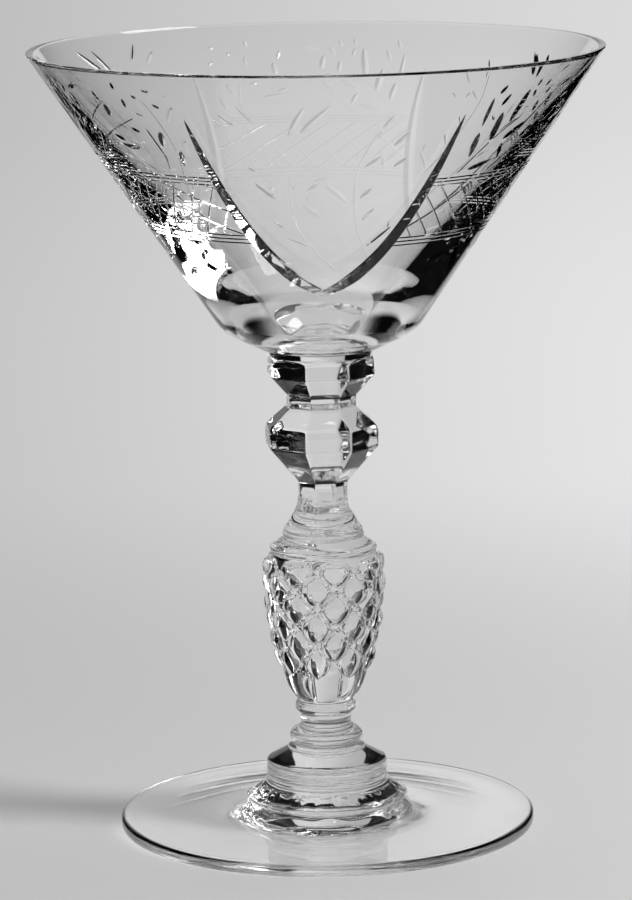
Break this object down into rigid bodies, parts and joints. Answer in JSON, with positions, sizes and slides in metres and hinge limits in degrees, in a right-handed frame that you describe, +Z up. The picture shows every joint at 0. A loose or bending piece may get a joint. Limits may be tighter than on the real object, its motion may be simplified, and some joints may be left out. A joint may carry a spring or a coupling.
{
  "type": "sherbet glass",
  "caption": "Clear stemmed glass with a wide conical bowl cut in panels, leaf sprays and a crossed-line band, on a knopped, beaded stem and a round foot; holds sherbet or a drink.",
  "frame": {"origin": "middle of the plane that the foot stands on, on the glass's axis", "axes": "+Z up along the axis of the glass, -Y towards the middle of the front panel, +X to the right seen from the front"},
  "size_m": [0.0968, 0.0968, 0.133],
  "materials": {
    "bowl_glass": "blown and fire-polished, with polished wheel cuts",
    "stem_glass": "pressed, fire-polished, with a faint mould seam",
    "foot_glass": "cast, smooth"
  },
  "bodies": {
    "root": {"bowl": "bowl_glass", "stem": "stem_glass", "foot": "foot_glass"}
  },
  "joints": []
}
